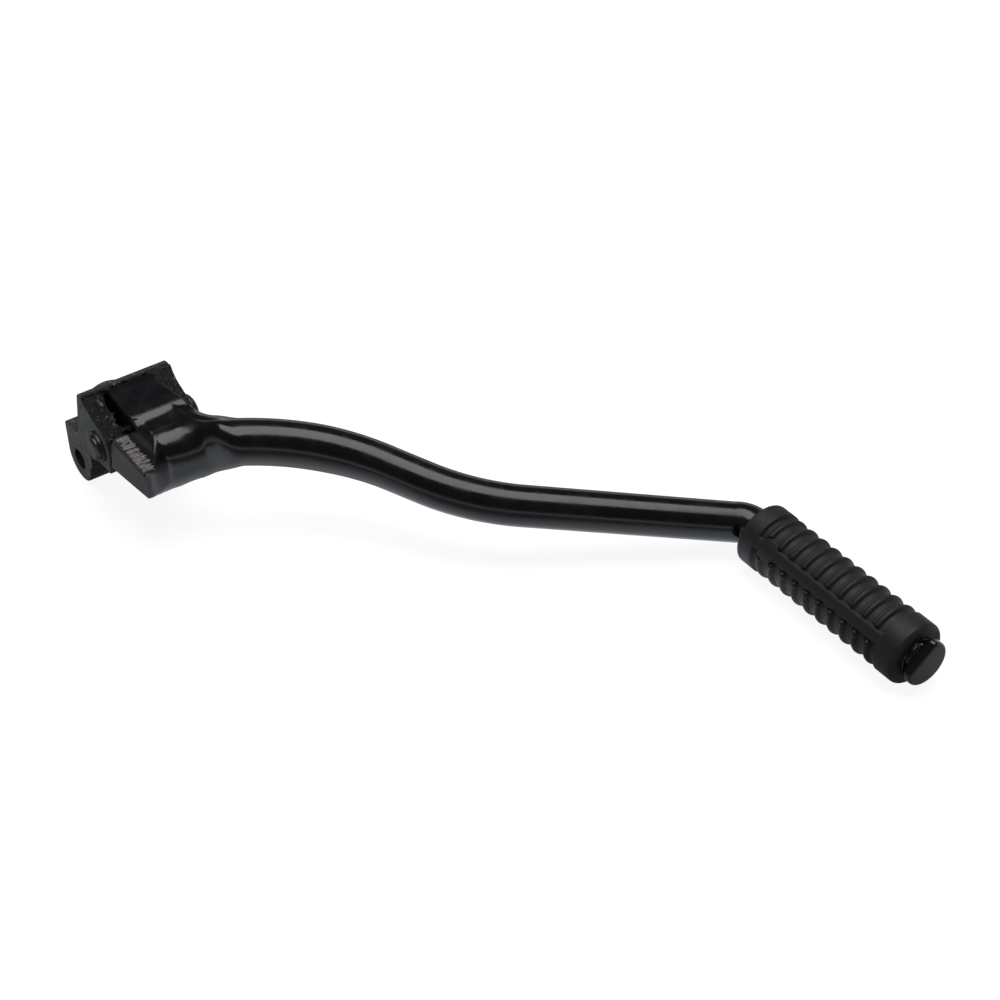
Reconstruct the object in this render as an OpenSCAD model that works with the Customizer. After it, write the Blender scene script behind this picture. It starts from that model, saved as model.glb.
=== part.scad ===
// Folding kick start lever: a clamp boss for a splined shaft, a forged arm that folds on a
// cross pin, and a rubber sleeve on the arm's foot peg. It lies as it would on a floor.
// The origin is on the splined bore's axis at the boss's back face. The bore runs along Y,
// the fold pin along X, and the arm reaches out towards -Y. "Out" below means -Y.

/* [Clamp] */
// Width of the boss along the pin
boss_w = 37.5; // [34:0.5:44]
// Depth of the clamp along the shaft
clamp_d = 18.6; // [17:0.2:24]
// Spline tip radius of the bore
bore_r = 6.5; // [5.5:0.1:7.5]
// Depth of the spline grooves
spline_h = 0.6; // [0.4:0.1:0.8]
// Number of splines
spline_n = 24; // [18:1:30]
// Wall of the barrel outside the spline grooves
barrel_wall = 3.7; // [3.2:0.1:5]
// Radius of the pinch bolt hole
pinch_r = 4.1; // [3.2:0.1:4.3]
// Distance from the bore's axis down to the pinch bolt's axis
pinch_drop = 11.8; // [11.4:0.1:13]
// Width of the clamp slit
slit_w = 2.5; // [1.5:0.1:3.5]
// Height of the lug shoulders above the bore's axis
shoulder_z = 1.8; // [1:0.1:5]

/* [Wall and ears] */
// Height of the wall top above the bore's axis
wall_z = 24.4; // [22:0.2:27]
// Thickness of the wall at its top
wall_t = 4; // [3:0.1:5]
// Lean of the wall's back, top against foot
wall_lean = 4.9; // [3:0.1:6]
// Step of the wall's front face beyond the clamp
wall_step = 2.2; // [1.6:0.1:3]
// Thickness of each ear
ear_t = 8.2; // [7:0.1:9.5]
// Radius of the round ear end
ear_r = 9; // [8.2:0.1:9.4]
// Height of the pin above the bore's axis
pin_z = 8.4; // [7:0.1:9.5]
// Distance from the wall's front face out to the pin
pin_out = 9.9; // [9.4:0.1:12]

/* [Pin] */
// Radius of the fold pin
pin_r = 5; // [4:0.1:5.4]
// Radius of the domed pin head
head_r = 6.5; // [6:0.1:7]
// Height of the domed pin head
head_h = 4.2; // [3:0.1:5]
// Outer radius of the snap ring
ring_r = 6.3; // [5.9:0.1:6.8]
// Thickness of the snap ring
ring_t = 1.4; // [1:0.1:1.8]
// Depth of the ring groove in the pin
groove_h = 0.7; // [0.4:0.1:1]
// Length of the pin end beyond the ring
stub_l = 1.8; // [1.2:0.1:3]

/* [Arm hub] */
// Play between the tongue and the left ear
play_left = 1.5; // [1.2:0.1:1.8]
// Play between the tongue and the right ear
play_right = 0.2; // [0.1:0.05:0.4]
// Gap between the tongue's back and the wall at the stop
stop_gap = 0.3; // [0.1:0.05:0.4]
// Radial running clearance between pin and arm
pin_gap = 0.06; // [0.03:0.01:0.1]
// Clearance between the ear ends and the arm's notch
notch_gap = 0.8; // [0.5:0.1:1.5]
// Height of the tongue's top above the pin
tongue_z = 15.2; // [14:0.1:16.5]
// Length of the tongue's flat top
tongue_l = 22; // [19:0.5:24]
// Depth of the hub bar, across the pin
bar_d = 30.5; // [27:0.5:33]
// Height of the hub bar
bar_h = 16.6; // [15:0.2:18]
// Height of the hub bar's underside above the pin's axis
bar_z = -2.6; // [-3:0.1:0]
// Rise of the underside from the bar's back to its front
bar_rise = 4.9; // [0:0.1:6]
// Height of the shoulder beside the tongue above the pin's axis, at its back
ledge_z = 13; // [12:0.1:13.4]
// Fall of that shoulder towards the front, in degrees
ledge_a = 7.5; // [4:0.5:12]
// Width of the shoulder from the bar's left end
ledge_w = 7.6; // [6:0.1:8.6]
// Slope from the shoulder up to the tongue's top, in degrees
ledge_up = 28; // [20:1:45]
// Reach of that slope into the tongue's side, in front of the crest
notch_step = 2.6; // [1:0.1:4]
// Fillet from the hub into the shank's back, along the shank
web_l = 14; // [8:0.5:20]
// Depth of that fillet at the hub
web_d = 4; // [1:0.5:8]

/* [Shank] */
// Distance from the bore's centre plane to the shank's first section
shank_x0 = 15.3; // [14.5:0.1:16.5]
// Distance of the shank's axis there behind the hub bar's front
shank_in = 3.6; // [3:0.1:4.5]
// Radius of the shank where it leaves the hub
shank_r0 = 9.1; // [8:0.1:10]
// Radius of the shank after its first bend
shank_r1 = 8.2; // [7.4:0.1:9]
// Radius of the first bend
bend1_r = 86; // [60:1:110]
// Turn of the first bend, in degrees
bend1_a = 42.1; // [38:0.1:44]
// Straight stretch between the bends
between = 15.4; // [8:0.2:24]
// Radius of the second bend
bend2_r = 79; // [60:1:100]
// Turn back in the second bend, in degrees
bend2_a = 27.3; // [24:0.1:30]
// Heading of the shank at the hub, measured from the pin's axis
heading0 = 19.1; // [15:0.1:22]
// Bend radius at the elbow
elbow_r = 8.5; // [8:0.5:18]
// Distance from the bore's centre plane to the peg's axis
peg_x = 164.5; // [155:0.5:180]
// Fall of the shank's axis from the hub to the peg
shank_drop = 25.4; // [20:0.2:28]

/* [Peg and grip] */
// Radius of the foot peg
peg_r = 7.3; // [6.5:0.1:7.6]
// Bare peg between the elbow and the sleeve
neck_l = 3.2; // [1:0.2:6]
// Length of the rubber sleeve
grip_l = 80.4; // [77:0.2:90]
// Outer radius of the sleeve's collars
grip_r = 12.5; // [11.5:0.1:13.5]
// Depth of the grooves between the ribs
groove_d = 1.2; // [0.8:0.1:1.6]
// Number of ribs
rib_n = 10; // [8:1:11]
// Distance from rib to rib
rib_pitch = 6.2; // [5.6:0.05:6.6]
// Width of the half round ribs
rib_w = 2.7; // [2.2:0.1:3]
// Width of the collar next to the shank
collar_far = 8; // [6:0.2:10]
// Width of the flat strip along the sleeve
strip_w = 4.4; // [3.6:0.1:5.4]
// Distance from a collar to the next rib's middle
rib_edge = 3.5; // [3:0.1:4]
// Distance of the pad's middle from the far collar
pad_l = 5.4; // [4.8:0.1:7]
// Angle of the strip from the top towards the boss side
strip_a = 58; // [45:1:65]
// Radius of the round pad on the strip
pad_r = 4.1; // [3.4:0.1:4.6]
// Length of peg head beyond the sleeve
peg_head_l = 5.6; // [5:0.2:8]
// Radius of the upset peg head
peg_head_r = 9; // [8.2:0.1:9.6]
// Distance from the peg's axis to the flat on its head
peg_flat = 5.2; // [4.5:0.1:7]
// Direction of that flat, from +X towards +Z
peg_flat_a = 129; // [90:1:180]

/* [Detent] */
// Radius of the detent ball
ball_r = 2.25; // [1.8:0.05:2.3]
// Metal between the ball's hole and the tongue's back
ball_wall = 0.9; // [0.7:0.1:1.2]
// Height of the ball above the pin's axis, at rest
ball_rise = 5.4; // [5:0.1:6]
// Depth of the ball in its track in the ear
track_h = 0.7; // [0.4:0.1:0.9]
// Fold of the arm from use to storage
fold_a = 85; // [60:1:88]
// Wire radius of the detent spring
wire_r = 0.35; // [0.25:0.05:0.45]
// Length of the detent spring
spring_l = 7; // [5:0.5:9]
// Turns of the detent spring
spring_n = 5; // [4:1:7]

/* [Hidden] */
$fn = 64;
eps = 0.02;
hw = boss_w / 2;
lug_r = clamp_d / 2;
floor_z = -pinch_drop - lug_r;
barrel_r = bore_r + spline_h + barrel_wall;
wall_front = clamp_d + wall_step;
wall_back = wall_front - wall_t;
pin_o = wall_front + pin_out;
slot_l = -hw + ear_t;
slot_r = hw - ear_t;
tongue_x0 = slot_l + play_left;
tongue_x1 = slot_r - play_right;
tongue_back = wall_front + stop_gap;
tongue_top = pin_z + tongue_z;
crest_o = tongue_back + tongue_l;
notch_r = ear_r + notch_gap;
bar_lap = 1.2;
bar_back = pin_o + notch_r - bar_lap;
bar_front = bar_back + bar_d;
bar_bottom = pin_z + bar_z;
bar_top = bar_bottom + bar_h;
bar_x0 = -hw + 0.2;
ring_m = 32;
ring_x = -hw - ring_t;
ball_x = slot_l - track_h + ball_r;
ball_gap = 0.05;
ball_o = tongue_back + ball_wall + ball_r + ball_gap;
ball_z = pin_z + ball_rise;
track_r = norm([ball_o - pin_o, ball_rise]);
track_a = atan2(ball_rise, ball_o - pin_o);
coil_gap = 0.1;
ball_slide = 0.25;
spring_x = ball_x + sqrt(ball_r * ball_r - pow(ball_r - wire_r - coil_gap, 2)) + ball_slide + coil_gap;
strip_gap = 0.9;
peg_z = floor_z + grip_r;
shank_o0 = bar_front - shank_in;
shank_z0 = peg_z + shank_drop;
heading1 = heading0 + bend1_a;
heading2 = heading1 - bend2_a;
elbow_turn = 90 - heading2;

// Slab whose outline is drawn as [out, z], from x0 to x1
module side(x0, x1) {
    translate([x1, 0, 0]) rotate([90, 0, -90]) linear_extrude(x1 - x0) children();
}

// Bar along X through the point [out, z]
module cross_bar(x0, x1, o, z, r) {
    translate([x0, -o, z]) rotate([0, 90, 0]) cylinder(h = x1 - x0, r = r);
}

// Points of an arc as [out, z], from angle a0 to a1
function arc(o, z, r, a0, a1, n = 8) = [for (i = [0:n])
    let (a = a0 + (a1 - a0) * i / n) [o + r * cos(a), z + r * sin(a)]];

module boss_outline() {
    // Clamp lugs with a round foot
    translate([lug_r, -pinch_drop]) circle(lug_r);
    translate([0, -pinch_drop]) square([clamp_d, pinch_drop + shoulder_z]);
    // Leaning wall on the clamp, with a fillet at the back of its foot
    polygon(concat(
        [[clamp_d, -6], [wall_front, 0], [wall_front, wall_z - 0.6], [wall_front - 0.6, wall_z],
         [wall_back, wall_z]],
        arc(wall_back - wall_lean - 3, shoulder_z + 3, 3, -12, -90, 5)
    ));
}

module ear_outline() {
    corner = [pin_o + ear_r - 2.9, pin_z + ear_r - 3.2];
    foot = pin_z - ear_r;
    translate([pin_o, pin_z]) circle(ear_r);
    translate(corner) circle(1.6);
    polygon(concat(
        [[wall_back, wall_z - 4], [wall_front, wall_z - 2.2]],
        arc(wall_front + 4, wall_z + 0.4, 4, 205, 252, 4),
        [corner + [0.5, 1.52], corner, [pin_o, pin_z], [pin_o - 2, foot + 0.2]],
        arc(clamp_d + 5, foot - 4.4, 5, 100, 176, 6),
        [[wall_back, foot - 4]]
    ));
}

module splined_bore() {
    translate([0, 1, 0]) rotate([90, 0, 0]) {
        cylinder(h = wall_front + 4, r = bore_r);
        for (i = [0:spline_n - 1]) rotate(360 * (i + 0.5) / spline_n)
            linear_extrude(wall_front + 4) polygon([
                [bore_r - 0.8, -bore_r * sin(80 / spline_n)], [bore_r + spline_h, -0.22],
                [bore_r + spline_h, 0.22], [bore_r - 0.8, bore_r * sin(80 / spline_n)]
            ]);
    }
}

module boss() {
    color([0.10, 0.105, 0.11]) difference() {
        union() {
            side(-hw, hw) boss_outline();
            side(-hw, slot_l) ear_outline();
            side(slot_r, hw) ear_outline();
            rotate([90, 0, 0]) cylinder(h = wall_front - 1, r = barrel_r);
        }
        splined_bore();
        translate([-slit_w / 2, -clamp_d - 8, floor_z - 1]) cube([slit_w, clamp_d + 9, -floor_z + 1]);
        cross_bar(-hw - 1, hw + 1, lug_r, -pinch_drop, pinch_r);
        cross_bar(-hw - 1, hw + 1, pin_o, pin_z, pin_r);
        // Track of the detent ball in the left ear
        translate([ball_x, -pin_o, pin_z]) track(ball_r + ball_gap);
    }
}

// Space swept by the ball as the arm folds about the pin
module track(r) {
    rotate([90, 0, -90]) {
        rotate([0, 0, track_a - fold_a]) rotate_extrude(angle = fold_a)
            translate([track_r, 0]) circle(r);
        // Seats at both ends, a little wider than the track
        for (a = [track_a - fold_a, track_a])
            rotate([0, 0, a]) translate([track_r, 0, 0]) sphere(r + 0.04);
    }
}

module pivot_pin() {
    color([0.06, 0.06, 0.065]) translate([0, -pin_o, pin_z]) rotate([0, 90, 0])
        rotate_extrude() polygon(concat(
        [[0, ring_x - stub_l], [pin_r - 0.8, ring_x - stub_l], [pin_r, ring_x - stub_l + 0.8],
         [pin_r, ring_x], [pin_r - groove_h, ring_x], [pin_r - groove_h, -hw], [pin_r, -hw],
         [pin_r, hw], [head_r, hw], [head_r, hw + head_h * 0.3]],
        [for (a = [15:15:90]) [head_r * cos(a), hw + head_h * (0.3 + 0.7 * sin(a))]]
    ));
}

module snap_ring() {
    color([0.05, 0.05, 0.055]) difference() {
        cross_bar(ring_x, -hw, pin_o, pin_z, ring_r);
        cross_bar(ring_x - 1, -hw + 1, pin_o, pin_z, pin_r - groove_h);
        // The open side of the ring
        translate([ring_x - 1, -pin_o - ring_r, pin_z - 2 * ring_r])
            cube([ring_t + 2, ring_r, 2 * ring_r - pin_r * 0.7]);
    }
}

module detent_ball() {
    color("silver") translate([ball_x, -ball_o, ball_z]) sphere(ball_r);
}

// Superellipse point with its own height and squareness above and below the centre
function super(a, bu, bl, nu, nl, t) = let (n = sin(t) > 0 ? nu : nl) [
    a * sign(cos(t)) * pow(abs(cos(t)), 2 / n),
    (sin(t) > 0 ? bu : bl) * sign(sin(t)) * pow(abs(sin(t)), 2 / n)];

// One section of the loft: centre [x, out, z], heading, half width, heights and squareness
function section(c, h, a, bu, bl, nu, nl, rise = 0) = [for (i = [0:ring_m - 1])
    let (p = super(a, bu, bl, nu, nl, 360 * (i + 0.5) / ring_m),
        tilt = rise / 2 * p[0] / a * max(0, -p[1] / bl))
    [c[0] - sin(h) * p[0], -c[1] - cos(h) * p[0], c[2] + p[1] + tilt]];

module loft(rings) {
    m = len(rings[0]);
    k = len(rings);
    polyhedron(
        points = [for (r = rings) each r],
        faces = concat(
            [[for (j = [m - 1:-1:0]) j]],
            [for (i = [0:k - 2], j = [0:m - 1]) let (q = (j + 1) % m)
                [i * m + j, i * m + q, (i + 1) * m + q, (i + 1) * m + j]],
            [[for (j = [0:m - 1]) (k - 1) * m + j]]
        ),
        convexity = 6
    );
}

// Stations [x, out, heading, length so far] along an arc that turns by t at radius r
function bend(s, r, t, n) = [for (i = [1:n])
    let (a = t * i / n, c = 2 * r * sin(abs(a) / 2), h = s[2] + a / 2)
    [s[0] + c * cos(h), s[1] + c * sin(h), s[2] + a, s[3] + r * abs(a) * PI / 180]];
function ahead(s, l) = [s[0] + l * cos(s[2]), s[1] + l * sin(s[2]), s[2], s[3] + l];
function last(v) = v[len(v) - 1];

s0 = [shank_x0, shank_o0, heading0, 0];
s1 = bend(s0, bend1_r, bend1_a, 10);
s2 = ahead(last(s1), between);
s3 = bend(s2, bend2_r, -bend2_a, 8);
elbow_t = elbow_r * tan(elbow_turn / 2);
run = (peg_x - last(s3)[0]) / cos(heading2) - elbow_t;
s4 = ahead(last(s3), run);
s5 = bend(s4, elbow_r, elbow_turn, 8);
stations = concat([s0], s1, [s2], s3, [ahead(last(s3), run / 2), s4], s5);
peg_start = last(s5)[1];
grip_o = peg_start + neck_l;
peg_end = grip_o + grip_l;

function shank_r(s) = lookup(s, [[0, shank_r0], [bend1_r * 0.5, shank_r0 - 0.2],
    [last(s1)[3], shank_r1], [s2[3] + 10, shank_r1], [last(s3)[3], (shank_r1 + peg_r) / 2],
    [s4[3], peg_r - 0.06]]);
function shank_z(s) = shank_z0 - shank_drop * min(1, s / s4[3]);

// The fillet that widens the shank's back next to the hub
function web(s) = web_d * pow(max(0, 1 - s / web_l), 2);

function shank_section(s) = let (r = shank_r(s[3]), w = web(s[3]) / 2)
    section([s[0] + sin(s[2]) * w, s[1] - cos(s[2]) * w, shank_z(s[3])], s[2], r + w, r, r, 2, 2);

// Hub bar section at t = 0 (left end) to 1 (shank): square at the end, domed on its way
function bar_section(t) = let (
    out = shank_r0 / cos(heading0),
    front = bar_front + (shank_o0 + out - bar_front) * pow(t, 3),
    back = bar_back + (shank_o0 - out - web_d - bar_back) * pow(t, 2),
    top = bar_top + (shank_z0 + shank_r0 - bar_top) * pow(t, 3),
    low = bar_bottom + (shank_z0 - shank_r0 - bar_bottom) * pow(t, 2),
    mid = low + 2 + (shank_z0 - low - 2) * pow(t, 2),
    h = heading0 * pow(t, 2),
    x = bar_x0 + (shank_x0 + sin(heading0) * web_d / 2 * pow(t, 3) - bar_x0) * t
) section([x, (front + back) / 2, mid], h, (front - back) / 2 * cos(h), top - mid, mid - low,
    2 + 8 * pow(max(0, 1 - t / 0.35), 2), 2 + 3 * pow(1 - t, 2), bar_rise * (1 - t));

module shank() {
    loft(concat(
        [for (t = [0, 0.04, 0.1, 0.16, 0.22, 0.28, 0.35, 0.45, 0.55, 0.65, 0.75, 0.85, 0.93])
            bar_section(t)],
        [for (s = stations) shank_section(s)]
    ));
}

module tongue() {
    back_r = pin_o - tongue_back;
    side(tongue_x0, tongue_x1) {
        translate([pin_o, pin_z]) circle(back_r);
        polygon(concat(
            [[tongue_back, pin_z]],
            arc(tongue_back + 2, tongue_top - 2, 2, 180, 90, 4),
            arc(crest_o - 2, tongue_top - 6, 6, 90, 72, 3),
            [[bar_back + 15, bar_top - 0.8], [bar_back + 15, bar_bottom + 2],
             [bar_back + 2, bar_bottom + 1], [pin_o + 3, pin_z - back_r + 0.6], [pin_o, pin_z - back_r]]
        ));
    }
}

// Away beside the left ear and in front of it: what stands over the shoulder and over the slope
// up to the tongue's top, and the lobe's corner
module notch() {
    long = bar_front - bar_back + 6;
    wide = tongue_x0 + notch_step + 4 - bar_x0 - ledge_w;
    intersection() {
        translate([bar_x0, 2 - bar_back, pin_z + ledge_z]) rotate([90 + ledge_a, 0, 0])
            linear_extrude(long) polygon([
                [-4, 0], [ledge_w, 0], [ledge_w + wide, wide * tan(ledge_up)], [ledge_w + wide, 30], [-4, 30]
            ]);
        for (n = [[0, tongue_x0], [crest_o + 2, tongue_x0 + notch_step]])
            translate([-hw - 4, -bar_front - 4, floor_z]) cube([n[1] + hw + 4, bar_front + 4 - n[0], 80]);
    }
    side(-hw - 1, tongue_x0) polygon([
        [bar_back - 2, pin_z + 2], [bar_back - 2, pin_z + 20], [bar_back + 7, pin_z + 14]]);
}

module peg() {
    translate([peg_x, -peg_start + 0.2, peg_z]) rotate([90, 0, 0])
        cylinder(h = peg_end - peg_start + 0.2 + eps, r = peg_r);
    // Upset head that keeps the sleeve on, with one flat
    neck = 1.6;
    translate([peg_x, -peg_end, peg_z]) rotate([90, 0, 0]) intersection() {
        rotate(peg_flat_a - 90) translate([-20, -20, 0]) cube([40, 20 + peg_flat, peg_head_l]);
        union() {
            cylinder(h = neck, r = peg_r);
            translate([0, 0, neck]) cylinder(h = 1.4, r1 = peg_r, r2 = peg_head_r);
            translate([0, 0, neck + 1.4]) cylinder(h = peg_head_l - neck - 2.6, r = peg_head_r);
            translate([0, 0, peg_head_l - 1.2]) cylinder(h = 1.2, r1 = peg_head_r, r2 = peg_head_r - 1.2);
        }
    }
}

module lever_arm() {
    color([0.055, 0.055, 0.06]) difference() {
        union() {
            shank();
            tongue();
            peg();
        }
        notch();
        cross_bar(-hw - 1, tongue_x0, pin_o, pin_z, notch_r);
        cross_bar(-hw, hw, pin_o, pin_z, pin_r + pin_gap);
        // Blind hole of the detent spring
        cross_bar(tongue_x0 - 1, spring_x + spring_l, ball_o, ball_z, ball_r + ball_gap);
    }
}

module detent_spring() {
    turn_n = 12;
    coil_r = ball_r - wire_r - coil_gap;
    n = spring_n * turn_n;
    color("silver") polyhedron(
        points = [for (i = [0:n], j = [0:5])
            let (a = 360 * i / turn_n, b = 60 * j, r = coil_r + wire_r * cos(b), w = wire_r * sin(b))
            [spring_x + wire_r + (spring_l - 2 * wire_r) * i / n + w,
                -ball_o + r * cos(a), ball_z + r * sin(a)]],
        faces = concat([[for (j = [0:5]) j]],
            [for (i = [0:n - 1], j = [0:5]) let (q = (j + 1) % 6)
                [i * 6 + j, (i + 1) * 6 + j, (i + 1) * 6 + q, i * 6 + q]],
            [[for (j = [5:-1:0]) n * 6 + j]])
    );
}

module grip_sleeve() {
    root_r = grip_r - groove_d;
    strip_seat = 0.35;
    rib0 = collar_far + rib_edge;
    collar = rib0 + rib_pitch * (rib_n - 1) + rib_edge;
    color([0.07, 0.07, 0.07]) translate([peg_x, -grip_o, peg_z]) rotate([90, 0, 0]) difference() {
        union() {
            difference() {
                rotate_extrude() {
                    translate([peg_r, 0]) square([root_r - peg_r, grip_l]);
                    polygon([[peg_r, 0], [grip_r - 1, 0], [grip_r, 1], [grip_r, collar_far],
                        [peg_r, collar_far]]);
                    for (i = [0:rib_n - 1])
                        translate([root_r, rib0 + rib_pitch * i]) intersection() {
                            circle(rib_w / 2);
                            translate([-1, -3]) square([1 + groove_d, 6]);
                        }
                    polygon([[peg_r, collar], [grip_r, collar], [grip_r, grip_l - 1.6],
                        [grip_r - 0.5, grip_l - 0.5], [grip_r - 1.6, grip_l], [peg_r, grip_l]]);
                }
                // The ribs stop beside the strip
                rotate(90 + strip_a)
                    translate([root_r - strip_seat, -strip_w / 2 - strip_gap, collar_far + 0.3])
                        cube([groove_d + 2, strip_w + 2 * strip_gap, collar - collar_far - 0.6]);
            }
            // Flat strip with a round pad at its far end
            rotate(90 + strip_a) intersection() {
                cylinder(h = collar + 1, r = grip_r - 0.15);
                union() {
                    translate([0, -strip_w / 2, collar_far - 1])
                        cube([grip_r - 0.4, strip_w, collar - collar_far + 2]);
                    translate([0, 0, collar_far + pad_l]) rotate([0, 90, 0])
                        cylinder(h = grip_r + 1, r = pad_r);
                }
            }
        }
        translate([0, 0, -1]) cylinder(h = grip_l + 2, r = peg_r);
    }
}

boss();
pivot_pin();
snap_ring();
lever_arm();
detent_ball();
detent_spring();
grip_sleeve();
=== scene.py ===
import bpy
import math
import numpy as np
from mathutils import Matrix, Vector


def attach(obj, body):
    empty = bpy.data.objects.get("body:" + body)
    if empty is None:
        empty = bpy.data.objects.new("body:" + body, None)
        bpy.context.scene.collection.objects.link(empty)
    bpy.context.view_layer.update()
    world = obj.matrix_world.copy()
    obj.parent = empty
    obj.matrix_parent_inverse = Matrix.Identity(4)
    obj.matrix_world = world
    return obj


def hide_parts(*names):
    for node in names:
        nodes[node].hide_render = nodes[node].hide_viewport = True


# Folding kick start lever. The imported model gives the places; this script gives the looks.
# Shapes are worked out in bench measures, in millimetres: p along the fold pin from the boss's
# left end, q outwards from the clamp, z up from the floor.
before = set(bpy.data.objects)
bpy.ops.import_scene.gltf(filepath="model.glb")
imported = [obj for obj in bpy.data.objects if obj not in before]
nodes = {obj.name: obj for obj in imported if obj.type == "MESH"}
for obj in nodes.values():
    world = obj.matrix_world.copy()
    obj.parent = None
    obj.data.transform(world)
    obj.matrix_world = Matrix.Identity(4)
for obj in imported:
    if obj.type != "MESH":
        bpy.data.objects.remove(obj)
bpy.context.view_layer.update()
bench = {"pinZero": -18.75, "outZero": 9.6, "floor": -21.1}
print("frame loaded")


# bench measures p, q, z in millimetres to the frame's metres
def toFrame(p, q, z):
    return np.stack([p + bench["pinZero"], -(q + bench["outZero"]), z + bench["floor"]], axis=-1) * 0.001


# a mesh object from arrays of points and faces, smooth shaded, at the origin
def meshPiece(name, points, faces, material, body):
    mesh = bpy.data.meshes.new(name)
    mesh.from_pydata(points.reshape(-1, 3).tolist(), [], faces.tolist())
    mesh.polygons.foreach_set("use_smooth", np.ones(len(mesh.polygons), dtype=bool))
    mesh.materials.append(material)
    mesh.update()
    piece = bpy.data.objects.new(name, mesh)
    bpy.context.scene.collection.objects.link(piece)
    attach(piece, body)
    return piece


# larger of two distances, with an exact round of that radius where they cross
def roundMax(a, b, radius):
    outside = np.hypot(np.maximum(a + radius, 0), np.maximum(b + radius, 0))
    return np.minimum(np.maximum(a, b), -radius) + outside


# smaller of two distances, with a fillet of that radius
def roundMin(a, b, radius):
    return -roundMax(-a, -b, radius)


# 0 below a, 1 above b, and a smooth run between
def ease(a, b, x):
    t = np.clip((x - a) / (b - a), 0, 1)
    return t * t * (3 - 2 * t)


# smooth table: piecewise straight through the stops, averaged over a window
def curveThrough(x, stops, window):
    xs, ys = zip(*stops)
    return sum(np.interp(x + k * window, xs, ys) * 0.25 for k in (-1, -0.5, 0.5, 1))


# Surface where a field is zero: one point in each grid cell that the surface passes, at the mean
# of its edge crossings, then three Newton steps onto the surface; one quad round each crossed edge
def skinOf(field, axes):
    grid = field(*np.meshgrid(*axes, indexing="ij", sparse=True))
    grid = np.ascontiguousarray(np.broadcast_to(grid, [len(a) for a in axes]))
    solid = grid < 0
    count = np.zeros([n - 1 for n in solid.shape], dtype=np.int8)
    corners = [(i, j, k) for i in (0, 1) for j in (0, 1) for k in (0, 1)]
    for i, j, k in corners:
        count += solid[i:solid.shape[0] - 1 + i, j:solid.shape[1] - 1 + j, k:solid.shape[2] - 1 + k]
    cells = np.argwhere((count > 0) & (count < 8))
    order = np.full(count.shape, -1, dtype=np.int64)
    order[tuple(cells.T)] = np.arange(len(cells))
    total = np.zeros((len(cells), 3))
    crossings = np.zeros(len(cells))
    for a in corners:
        for d in range(3):
            if a[d]:
                continue
            ia = cells + np.array(a)
            ib = ia.copy()
            ib[:, d] += 1
            fa, fb = grid[tuple(ia.T)], grid[tuple(ib.T)]
            hit = (fa < 0) != (fb < 0)
            t = np.where(hit, fa / np.where(hit, fa - fb, 1), 0)
            pa = np.stack([axes[e][ia[:, e]] for e in range(3)], axis=1)
            pb = np.stack([axes[e][ib[:, e]] for e in range(3)], axis=1)
            total += np.where(hit[:, None], pa + t[:, None] * (pb - pa), 0)
            crossings += hit
    points = total / crossings[:, None]
    low = np.stack([axes[e][cells[:, e]] for e in range(3)], axis=1)
    high = np.stack([axes[e][cells[:, e] + 1] for e in range(3)], axis=1)
    for _ in range(3):
        value = field(*points.T)
        slope = np.stack([(field(*(points + h).T) - field(*(points - h).T)) / 0.04
                          for h in np.eye(3) * 0.02], axis=1)
        move = value[:, None] * slope / np.maximum((slope ** 2).sum(axis=1), 0.05)[:, None]
        points = np.clip(points - move, low, high)
    quads = []
    for d in range(3):
        e, f = (d + 1) % 3, (d + 2) % 3
        first = [slice(1, -1)] * 3
        first[d] = slice(0, -1)
        second = list(first)
        second[d] = slice(1, None)
        a, b = solid[tuple(first)], solid[tuple(second)]
        for mask, turn in ((a & ~b, False), (b & ~a, True)):
            at = np.argwhere(mask)
            at[:, e] += 1
            at[:, f] += 1
            ring = []
            for de, df in ((1, 1), (0, 1), (0, 0), (1, 0)):
                c = at.copy()
                c[:, e] -= de
                c[:, f] -= df
                ring.append(order[tuple(c.T)])
            ring = np.stack(ring, axis=1)
            quads.append(ring[:, ::-1] if turn else ring)
    return points, np.concatenate(quads)


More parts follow.
